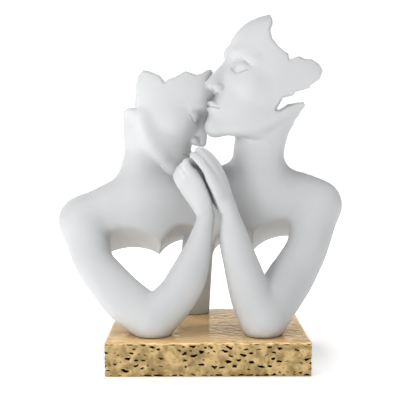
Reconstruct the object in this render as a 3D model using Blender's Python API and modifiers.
"""Couple sculpture: two half figures cast as one in white porcelain, on a hammered gold plinth.

Metres, +Z up. The origin is the centre of the plinth's underside, the figures' fronts look along
-Y, she is on the -X side and he on the +X side. The figures are given in their own units, so their
pose and proportions follow their height. Their heads are hollow shells with broken rims.
"""

import math

import bmesh
import bpy
import numpy as np
from mathutils import Matrix, Vector, noise

# Driving dimensions
PLINTH_WIDTH = 0.240
PLINTH_DEPTH = 0.175
PLINTH_HEIGHT = 0.041
PLINTH_EDGE = 0.0018
DENT_SPACING = 0.012
DENT_DEPTH = 0.0012
FIGURES_HEIGHT = 0.395
HIS_HEAD_HEIGHT = 0.183
HER_HEAD_HEIGHT = 0.160
SHELL_WALL = 0.006
POST_WIDTH = 0.042
POST_DEPTH = 0.033
ELBOW_SETBACK = 0.0375
TORSO_SETBACK = 0.0425
SEAT_GAP = 0.0003

# Mesh sizes
BODY_VOXEL = 0.0034
HEAD_VOXEL = 0.0026
CASTING_VOXEL = 0.0028
COUPLE_TRIANGLES = 8000
RING_POINTS = 20
ARCH_POINTS = 40
PLINTH_CELL = 0.0080
TORSO_SMOOTHING = 16
BODY_SMOOTHING = 8
SKULL_SMOOTHING = 10
HOLLOW_SMOOTHING = 6
CASTING_SMOOTHING = 2

# The figures' own units: x and z are 395ths of their height, z from the plinth's top. Depths run
# from ELBOW_DEPTH, where the elbows rest, to TORSO_DEPTH, the middle of the torsos.
UNIT = FIGURES_HEIGHT / 395
ELBOW_DEPTH = -50
TORSO_DEPTH = 45
ELBOW_Y = ELBOW_SETBACK - PLINTH_DEPTH / 2
TORSO_Y = PLINTH_DEPTH / 2 - TORSO_SETBACK
DEPTH_UNIT = (TORSO_Y - ELBOW_Y) / (TORSO_DEPTH - ELBOW_DEPTH)
SEAT_Z = PLINTH_HEIGHT + SEAT_GAP


def spot(x, y, z):
    """A point of the figures, from their own units to metres."""
    return Vector((x * UNIT, ELBOW_Y + (y - ELBOW_DEPTH) * DEPTH_UNIT, PLINTH_HEIGHT + z * UNIT))


# Scene and materials
def clear_scene():
    for obj in list(bpy.data.objects):
        bpy.data.objects.remove(obj, do_unlink=True)


def new_collection(name):
    collection = bpy.data.collections.new(name)
    bpy.context.scene.collection.children.link(collection)
    return collection


def new_material(name, colour, roughness, metallic):
    material = bpy.data.materials.new(name)
    material.use_nodes = True
    shader = material.node_tree.nodes["Principled BSDF"]
    shader.inputs["Base Color"].default_value = (*colour, 1)
    shader.inputs["Roughness"].default_value = roughness
    shader.inputs["Metallic"].default_value = metallic
    return material


def new_object(name, bm, collection):
    bmesh.ops.recalc_face_normals(bm, faces=bm.faces)
    mesh = bpy.data.meshes.new(name)
    bm.to_mesh(mesh)
    bm.free()
    obj = bpy.data.objects.new(name, mesh)
    collection.objects.link(obj)
    return obj


def new_cutter(name, bm, collection):
    cutter = new_object(name, bm, collection)
    cutter.hide_render = True
    cutter.display_type = "WIRE"
    return cutter


# Modifiers
def add_remesh(obj, voxel):
    remesh = obj.modifiers.new("one skin", "REMESH")
    remesh.mode = "VOXEL"
    remesh.voxel_size = voxel


def add_smooth(obj, times):
    smooth = obj.modifiers.new("soften", "SMOOTH")
    smooth.factor = 0.5
    smooth.iterations = round(times)


def add_cut(obj, cutter):
    cut = obj.modifiers.new(f"cut by {cutter.name}", "BOOLEAN")
    cut.operation = "DIFFERENCE"
    cut.solver = "EXACT"
    cut.object = cutter


def evaluated_mesh(obj):
    bpy.context.view_layer.update()
    graph = bpy.context.evaluated_depsgraph_get()
    return bpy.data.meshes.new_from_object(obj.evaluated_get(graph))


def take_into(bm, obj):
    """Adds an object's evaluated mesh to bm and removes the object."""
    bm.from_mesh(evaluated_mesh(obj))
    bpy.data.objects.remove(obj)


# Shapes
def smooth_rows(rows, links):
    """Rows of numbers along a Catmull-Rom curve through the given rows."""
    rows = np.asarray(rows, float)
    ends = np.vstack([2 * rows[0] - rows[1], rows, 2 * rows[-1] - rows[-2]])
    out = []
    for a, b, c, d in zip(ends, ends[1:], ends[2:], ends[3:]):
        for t in np.arange(links) / links:
            bend = (2 * a - 5 * b + 4 * c - d) * t**2 + (3 * b - a - 3 * c + d) * t**3
            out.append(0.5 * (2 * b + (c - a) * t + bend))
    out.append(rows[-1])
    return np.array(out)


def add_loft(bm, rings):
    """A closed skin over rings of points, each ring with the same number of points."""
    loops = [[bm.verts.new(point) for point in ring] for ring in rings]
    for low, high in zip(loops, loops[1:]):
        for i in range(len(low)):
            j = (i + 1) % len(low)
            bm.faces.new((low[i], low[j], high[j], high[i]))
    bm.faces.new(reversed(loops[0]))
    bm.faces.new(loops[-1])


def add_limb(bm, rows, across=(0, 1, 0), links=3):
    """A limb with round ends. A row is a point and the radii beside and along the across direction."""
    rows = smooth_rows(rows, links)
    points = [Vector(row[:3]) for row in rows]
    across = Vector(across)
    rings = []
    for i, (point, row) in enumerate(zip(points, rows)):
        tangent = (points[min(i + 1, len(points) - 1)] - points[max(i - 1, 0)]).normalized()
        side = tangent.cross(across).normalized()
        deep = side.cross(tangent)
        end = -1 if i == 0 else 1 if i == len(points) - 1 else 0
        bulges = (0,) if end == 0 else (0, 0.5, 0.85, 0.98)
        ends = []
        for bulge in bulges:
            share = math.sqrt(1 - bulge * bulge)
            centre = point + tangent * end * bulge * min(row[3], row[4])
            ends.append([
                centre + side * math.cos(a) * row[3] * share + deep * math.sin(a) * row[4] * share
                for a in (math.tau * k / RING_POINTS for k in range(RING_POINTS))
            ])
        rings += ends[::-1] if end < 0 else ends
    add_loft(bm, rings)


def figure_limb(bm, rows, across=(0, 1, 0)):
    """A limb given in the figures' own units."""
    add_limb(bm, [(*spot(*row[:3]), row[3] * UNIT, row[4] * UNIT) for row in rows], across)


def add_blob(bm, matrix, centre, radii):
    """An ellipsoid in the frame that the matrix gives."""
    place = matrix @ Matrix.Translation(centre) @ Matrix.Diagonal((*radii, 1))
    bmesh.ops.create_uvsphere(bm, u_segments=28, v_segments=18, radius=1, matrix=place)


def figure_blob(bm, centre, radii):
    """An upright ellipsoid given in the figures' own units."""
    add_blob(bm, Matrix.Translation(spot(*centre)), (0, 0, 0), [r * UNIT for r in radii])


def resampled(outline, count):
    """The outline's points, spread evenly along its length from its first point to its last."""
    outline = np.asarray(outline, float)
    lengths = np.append(0, np.cumsum(np.linalg.norm(np.diff(outline, axis=0), axis=1)))
    at = np.linspace(0, lengths[-1], count)
    return np.stack([np.interp(at, lengths, outline[:, k]) for k in (0, 1)], 1)


# Torsos: one slab with two chests, whose lower edge is cut in arches
SHOULDERS_AND_CHESTS = (
    ((-160, 45, 132, 30, 30), (-135, 52, 141, 28, 32), (-95, 58, 151, 30, 34), (-50, 62, 161, 34, 34)),
    ((143, 45, 146, 31, 31), (120, 52, 154, 30, 33), (85, 58, 157, 34, 36), (40, 62, 169, 34, 34)),
    ((-50, 64, 162, 34, 30), (0, 66, 164, 34, 28), (40, 64, 169, 34, 30)),
)
RIBS = (
    ((-82, 56, 119), (85, 37, 80)), ((82, 56, 129), (80, 38, 85)), ((8, 66, 124), (70, 26, 75)),
    ((-84, 66, 122), (80, 30, 66)), ((84, 66, 128), (78, 30, 70)),
    ((-143, 40, 126), (28, 26, 30)), ((130, 40, 132), (28, 26, 30)),
)
ARCH_BACK_DEPTH = 85
ARCH_FRONT_DEPTH = 30
ARCH_OVERRUN = 45
# Each arch is an ellipse (x, z, half width, half height) at the back depth and one at the front.
ARCHES = (
    ((-98, 44, 50, 43.5), (-105, 59, 57, 57)),
    ((-26, 49, 45, 48), (-22, 74, 40, 50)),
    ((37, 49, 34, 48), (37, 71, 34, 50)),
    ((108, 59, 50, 44), (100, 74, 52, 54)),
)
TORSO_BOTTOM = 64


def arch_cutter(name, back, front, collection):
    """A cone of ellipses between the two, drawn out well past both."""
    back, front = np.array(back, float), np.array(front, float)
    rings = []
    for depth in (ARCH_BACK_DEPTH + ARCH_OVERRUN, ARCH_FRONT_DEPTH - ARCH_OVERRUN):
        share = (depth - ARCH_BACK_DEPTH) / (ARCH_FRONT_DEPTH - ARCH_BACK_DEPTH)
        x, z, wide, high = back + (front - back) * share
        angles = [math.tau * k / ARCH_POINTS for k in range(ARCH_POINTS)]
        rings.append([spot(x + wide * math.cos(a), depth, z + high * math.sin(a)) for a in angles])
    bm = bmesh.new()
    add_loft(bm, rings)
    return new_cutter(name, bm, collection)


def make_torsos(cutters):
    bm = bmesh.new()
    for rows in SHOULDERS_AND_CHESTS:
        figure_limb(bm, rows)
    for centre, radii in RIBS:
        figure_blob(bm, centre, radii)
    torsos = new_object("torsos", bm, cutters)
    add_remesh(torsos, BODY_VOXEL)
    add_smooth(torsos, TORSO_SMOOTHING)
    for number, (back, front) in enumerate(ARCHES, 1):
        add_cut(torsos, arch_cutter(f"arch {number}", back, front, cutters))
    bm = bmesh.new()
    bmesh.ops.create_cube(bm, size=1)
    bmesh.ops.scale(bm, verts=bm.verts, vec=(PLINTH_WIDTH * 2, PLINTH_DEPTH * 2, TORSO_BOTTOM * UNIT))
    bmesh.ops.translate(bm, verts=bm.verts, vec=spot(0, 0, TORSO_BOTTOM / 2))
    add_cut(torsos, new_cutter("below torsos", bm, cutters))
    return torsos


# Necks, arms, hands and the post that carries the torsos
NECKS = (
    ((-76, 57, 149, 42, 36), (-80, 57, 184, 34, 30), (-80, 56, 214, 28, 25), (-79, 54, 247, 27, 26)),
    ((77, 55, 159, 44, 38), (71, 53, 194, 35, 34), (69, 52, 221, 33, 32), (78, 50, 262, 33, 33)),
)
ARMS = (
    (
        (-161, 45, 137, 32, 31), (-154, 30, 104, 28, 27), (-143, 12, 77, 24.7, 26),
        (-131, 0, 64, 24.9, 26), (-101, -28, 38, 27.2, 27), (-66.7, -50, 17, 27.5, 26),
    ),
    (
        (-64, -50, 17, 26.5, 26), (-37, -42, 44.5, 24.4, 25), (-26, -38, 63, 23.2, 24),
        (-17, -34, 84.6, 19.5, 21), (-10, -30, 104.8, 15.2, 18), (-5, -27, 125, 11.9, 15.5),
        (-1.7, -25, 138, 10, 14.5),
    ),
    (
        (144, 45, 146, 31.5, 31), (136, 30, 117, 28, 29), (127, 15, 92.7, 26.3, 28),
        (110.7, 0, 68.2, 28.1, 28), (99.8, -10, 54.4, 29, 29), (70, -46, 19, 27, 28),
    ),
    (
        (66.5, -52, 16.8, 27.5, 26), (53.5, -42, 42.7, 25.5, 25), (38.2, -34, 90.6, 20.4, 22),
        (32.7, -30, 111, 18.1, 20), (28.2, -25, 137.7, 12.1, 16.5), (24.5, -22, 149.7, 10.6, 15.5),
    ),
)
# A palm's rows run from the wrist to the knuckles, and its fingers lie side by side along SPREAD.
HER_PALM = (
    (-1.7, -25, 138, 10, 14.5), (-9, -22, 156, 9.5, 20), (-20, -18, 181, 9.5, 24),
    (-29.5, -16, 197.5, 8.5, 23),
)
HER_SPREAD = Vector((-0.5, 0.87, 0))
HER_FINGER_BENDS = ((-27.5, -16, 197.5), (-21.5, -16, 209.5), (-9.5, -14, 211.5))
HIS_PALM = (
    (24.5, -22, 149.7, 10.6, 15.5), (20, -20, 166, 9.5, 20), (13, -18, 184, 9.5, 23),
    (8, -16, 197, 8.5, 22),
)
HIS_SPREAD = Vector((0.5, 0.87, 0))
HIS_FINGER_BENDS = ((8, -16, 195), (1, -16, 212), (-13, -15, 223))
FINGERS = 4
FINGER_PITCH = 10.5
FINGER_RADII = (6.5, 6, 4.9)
POST_ROWS = ((-17.6, 66, -10), (-14.5, 66, 39), (-11, 66, 94))


def add_hand(bm, palm, spread, bends):
    figure_limb(bm, palm, spread)
    for number in range(FINGERS):
        offset = spread * (number - (FINGERS - 1) / 2) * FINGER_PITCH
        rows = [(*(Vector(bend) + offset), r, r) for bend, r in zip(bends, FINGER_RADII)]
        figure_limb(bm, rows)


def add_post(bm):
    rows = [(*spot(*row), POST_WIDTH / 2, POST_DEPTH / 2) for row in POST_ROWS]
    add_limb(bm, rows)


# Heads: x forward, y to the head's left, z up from its middle, in head heights
SKULL_AND_FACE = (
    ((-0.045, 0, 0.125), (0.415, 0.315, 0.375)),
    ((0.09, 0, -0.13), (0.285, 0.235, 0.35)),
    ((0.13, 0, -0.29), (0.235, 0.19, 0.175)),
    ((0.21, 0.15, -0.09), (0.10, 0.085, 0.085)),
    ((0.21, -0.15, -0.09), (0.10, 0.085, 0.085)),
)
CHIN = ((0.325, 0, -0.42), (0.062, 0.085, 0.07))
MOUTH = ((0.30, 0, -0.31), (0.10, 0.11, 0.085))
BROW = ((0.310, 0.105, 0.075), (0.046, 0.11, 0.032))
SOCKET = ((0.435, 0.125, 0.005), (0.085, 0.085, 0.05))
EYE = ((0.264, 0.122, -0.004), (0.075, 0.072, 0.052))
NOSE_WING = ((0.395, 0.042, -0.188), (0.042, 0.026, 0.03))
NOSE = (
    (0.345, 0, 0.055, 0.026, 0.034), (0.368, 0, -0.01, 0.027, 0.044),
    (0.392, 0, -0.08, 0.032, 0.058), (0.415, 0, -0.145, 0.040, 0.068),
)
UPPER_LIP = (
    (0.365, 0.07, -0.316, 0.010, 0.012), (0.402, 0, -0.296, 0.017, 0.020),
    (0.365, -0.07, -0.316, 0.010, 0.012),
)
LOWER_LIP = (
    (0.362, 0.06, -0.328, 0.011, 0.013), (0.392, 0, -0.341, 0.020, 0.022),
    (0.362, -0.06, -0.328, 0.011, 0.013),
)


class Head:
    """A head's place, its turn, and its broken rim, in head heights round its middle."""

    def __init__(self, name, middle, height, forward, up, near_rim, far_rim, beyond):
        self.name = name
        self.height = height
        self.middle = spot(*middle)
        x_axis = Vector(forward).normalized()
        z_axis = (Vector(up) - x_axis * x_axis.dot(Vector(up))).normalized()
        turn = Matrix((x_axis, z_axis.cross(x_axis), z_axis)).transposed().to_4x4()
        self.matrix = Matrix.Translation(self.middle) @ turn @ Matrix.Scale(height, 4)
        self.near_rim = np.array(near_rim)
        self.far_rim = resampled(far_rim, len(near_rim))
        self.beyond = beyond

    def ring(self, rim, depth):
        """What is broken away beyond a rim, at a depth, which like the outlines is in head heights."""
        outline = (*rim, *self.beyond)
        return [self.middle + Vector((x, depth, z)) * self.height for x, z in outline]


# Each rim is an outline of (x, z) seen from the front: the near rim on the side to the viewer, the
# far rim behind it. What is broken away lies between the rim and the corners beyond it.
HIS_NEAR_RIM = (
    (-0.085, 0.50), (-0.055, 0.497), (-0.02, 0.490), (-0.005, 0.462), (-0.012, 0.385),
    (-0.033, 0.332), (-0.023, 0.274), (0.012, 0.227), (0.052, 0.194), (0.082, 0.175), (0.092, 0.135),
    (0.120, 0.149), (0.155, 0.161), (0.198, 0.143), (0.249, 0.143), (0.311, 0.108), (0.336, 0.070),
    (0.315, 0.009), (0.247, -0.035), (0.241, -0.055), (0.141, -0.082), (0.121, -0.108),
    (0.065, -0.119), (0.019, -0.195), (0.052, -0.152), (0.146, -0.143), (0.206, -0.141),
    (0.226, -0.166), (0.194, -0.213), (0.193, -0.239), (0.162, -0.280), (0.188, -0.300),
    (0.145, -0.345), (0.20, -0.40),
)
HIS_FAR_RIM = (
    (-0.26, 0.42), (-0.20, 0.34), (-0.21, 0.25), (-0.13, 0.20), (-0.15, 0.11), (-0.06, 0.05),
    (-0.08, -0.05), (0.00, -0.12), (-0.02, -0.20), (0.07, -0.27), (0.12, -0.35), (0.20, -0.40),
)
HIS_BEYOND = ((0.80, -0.40), (0.80, 0.80), (-0.30, 0.80))
HER_NEAR_RIM = (
    (-0.296, -0.076), (-0.245, -0.067), (-0.203, -0.068), (-0.198, 0.071), (-0.177, 0.166),
    (-0.131, 0.216), (-0.078, 0.202), (-0.001, 0.169), (0.040, 0.118), (0.056, 0.143),
    (0.107, 0.157), (0.190, 0.207), (0.280, 0.182), (0.320, 0.198), (0.367, 0.239),
    (0.418, 0.286), (0.475, 0.218),
)
HER_FAR_RIM = (
    (-0.32, -0.10), (-0.22, -0.06), (-0.15, 0.00), (-0.10, -0.02), (-0.03, 0.06), (0.05, 0.03),
    (0.12, 0.09), (0.20, 0.06), (0.30, 0.13), (0.37, 0.18), (0.42, 0.26), (0.475, 0.218),
)
HER_BEYOND = ((0.80, 0.25), (0.80, 0.80), (-0.60, 0.80), (-0.60, -0.10))
HIS_HEAD = Head(
    "his", (83, 45, 304.5), HIS_HEAD_HEIGHT, (-0.88, -0.42, 0.23), (0.22, 0.08, 1),
    HIS_NEAR_RIM, HIS_FAR_RIM, HIS_BEYOND,
)
HER_HEAD = Head(
    "her", (-60.4, 50, 284.2), HER_HEAD_HEIGHT, (0.897, -0.12, -0.4226), (0.42, 0, 0.906),
    HER_NEAR_RIM, HER_FAR_RIM, HER_BEYOND,
)


def mirrored(bm, matrix, blob):
    """A blob and its twin on the head's other side."""
    (x, y, z), radii = blob
    add_blob(bm, matrix, (x, y, z), radii)
    add_blob(bm, matrix, (x, -y, z), radii)


def skull_mesh(bm, head, inset):
    """The skull and face masses, drawn in by the inset in metres."""
    less = inset / head.height
    for centre, radii in SKULL_AND_FACE:
        add_blob(bm, head.matrix, centre, [r - less for r in radii])


def make_skull(head, cutters):
    """The head's masses with hollows for the eyes, broken off behind and above the rim."""
    bm = bmesh.new()
    skull_mesh(bm, head, 0)
    add_blob(bm, head.matrix, *CHIN)
    add_blob(bm, head.matrix, *MOUTH)
    mirrored(bm, head.matrix, BROW)
    skull = new_object(f"{head.name} skull", bm, cutters)
    add_remesh(skull, HEAD_VOXEL)
    add_smooth(skull, SKULL_SMOOTHING)
    bm = bmesh.new()
    mirrored(bm, head.matrix, SOCKET)
    add_cut(skull, new_cutter(f"{head.name} eye hollows", bm, cutters))
    add_cut(skull, break_cutter(head, cutters))
    return skull


def break_cutter(head, cutters):
    """What is broken away: the near rim's outline, which turns into the far rim's behind the middle."""
    near, far = head.near_rim, head.far_rim
    rims = ((near, -0.8), (near, -0.06), (far, 0.16), (far, 0.8))
    bm = bmesh.new()
    add_loft(bm, [head.ring(rim, depth) for rim, depth in rims])
    return new_cutter(f"{head.name} break", bm, cutters)


def hollow_cutter(head, cutters):
    """The inside of a head, one wall in from its skull and face."""
    bm = bmesh.new()
    skull_mesh(bm, head, SHELL_WALL)
    hollow = new_cutter(f"{head.name} hollow", bm, cutters)
    add_remesh(hollow, BODY_VOXEL)
    add_smooth(hollow, HOLLOW_SMOOTHING)
    return hollow


def add_features(bm, head):
    """Closed eyes, nose and lips."""
    mirrored(bm, head.matrix, EYE)
    mirrored(bm, head.matrix, NOSE_WING)
    forward = head.matrix.to_quaternion() @ Vector((1, 0, 0))
    for rows in (NOSE, UPPER_LIP, LOWER_LIP):
        placed = [
            (*(head.matrix @ Vector(row[:3])), row[3] * head.height, row[4] * head.height)
            for row in rows
        ]
        add_limb(bm, placed, forward, links=4)


# The couple
def make_body(cutters):
    """Torsos, necks, arms and post under one soft skin."""
    bm = bmesh.new()
    take_into(bm, make_torsos(cutters))
    for rows in (*NECKS, *ARMS):
        figure_limb(bm, rows)
    add_post(bm)
    body = new_object("body", bm, cutters)
    add_remesh(body, BODY_VOXEL)
    add_smooth(body, BODY_SMOOTHING)
    return body


def make_casting(cutters):
    """The body with its hands and its hollow heads, before its facets are thinned out."""
    bm = bmesh.new()
    take_into(bm, make_body(cutters))
    add_hand(bm, HER_PALM, HER_SPREAD, HER_FINGER_BENDS)
    add_hand(bm, HIS_PALM, HIS_SPREAD, HIS_FINGER_BENDS)
    for head in (HIS_HEAD, HER_HEAD):
        take_into(bm, make_skull(head, cutters))
        add_features(bm, head)
    casting = new_object("casting", bm, cutters)
    add_remesh(casting, CASTING_VOXEL)
    add_smooth(casting, CASTING_SMOOTHING)
    for head in (HIS_HEAD, HER_HEAD):
        add_cut(casting, hollow_cutter(head, cutters))
    return casting


def make_couple(collection, cutters, material):
    bm = bmesh.new()
    take_into(bm, make_casting(cutters))
    bmesh.ops.triangulate(bm, faces=bm.faces)
    count = len(bm.faces)
    couple = new_object("couple", bm, collection)
    decimate = couple.modifiers.new("facets", "DECIMATE")
    decimate.ratio = COUPLE_TRIANGLES / count
    bm = bmesh.new()
    bmesh.ops.create_cube(bm, size=1)
    bmesh.ops.scale(bm, verts=bm.verts, vec=(PLINTH_WIDTH * 2, PLINTH_DEPTH * 2, SEAT_Z * 2))
    add_cut(couple, new_cutter("seat", bm, cutters))
    couple.data.materials.append(material)
    couple.data.shade_smooth()
    return couple


# The plinth. A dent reaches this far from its strike, as a share of their spacing.
DENT_REACH = 0.62


def dent_depth(point):
    """How deep the hammer's bowls are at a point of a side: each falls off from its own strike."""
    distances, _ = noise.voronoi(point / DENT_SPACING)
    return DENT_DEPTH * max(0.0, 1 - (distances[0] / DENT_REACH) ** 2)


def make_plinth(collection, material):
    bm = bmesh.new()
    bmesh.ops.create_cube(bm, size=1)
    size = Vector((PLINTH_WIDTH, PLINTH_DEPTH, PLINTH_HEIGHT))
    bmesh.ops.scale(bm, verts=bm.verts, vec=size)
    bmesh.ops.translate(bm, verts=bm.verts, vec=(0, 0, PLINTH_HEIGHT / 2))
    for axis in range(3):
        along = [e for e in bm.edges if abs((e.verts[0].co - e.verts[1].co)[axis]) > 1e-6]
        cuts = round(size[axis] / PLINTH_CELL) - 1
        bmesh.ops.subdivide_edges(bm, edges=along, cuts=cuts, use_grid_fill=True)
    half = size / 2
    for vert in bm.verts:
        x, y, z = vert.co
        if min(z, PLINTH_HEIGHT - z) < PLINTH_EDGE:
            continue
        on_ends = abs(abs(x) - half.x) < 1e-6
        on_faces = abs(abs(y) - half.y) < 1e-6
        if on_ends != on_faces:
            outward = Vector((math.copysign(1, x), 0, 0)) if on_ends else Vector((0, math.copysign(1, y), 0))
            vert.co -= outward * dent_depth(vert.co)
    bm.normal_update()
    flat = [v for v in bm.verts if min(v.co.z, PLINTH_HEIGHT - v.co.z) < 1e-6]
    level = [f for f in bm.faces if abs(f.normal.z) > 0.999]
    edges = {e for f in level for e in f.edges if all(g in level for g in e.link_faces)}
    bmesh.ops.dissolve_limit(bm, angle_limit=0.001, verts=flat, edges=list(edges))
    plinth = new_object("plinth", bm, collection)
    bevel = plinth.modifiers.new("edges", "BEVEL")
    bevel.width = PLINTH_EDGE
    bevel.segments = 1
    bevel.limit_method = "ANGLE"
    bevel.angle_limit = math.radians(60)
    plinth.data.materials.append(material)
    return plinth


def main():
    clear_scene()
    sculpture = new_collection("couple sculpture")
    cutters = new_collection("cutters")
    porcelain = new_material("white porcelain", (0.74, 0.75, 0.76), 0.55, 0.0)
    gold = new_material("gold plinth", (0.83, 0.58, 0.26), 0.18, 1.0)
    make_couple(sculpture, cutters, porcelain)
    make_plinth(sculpture, gold)


main()
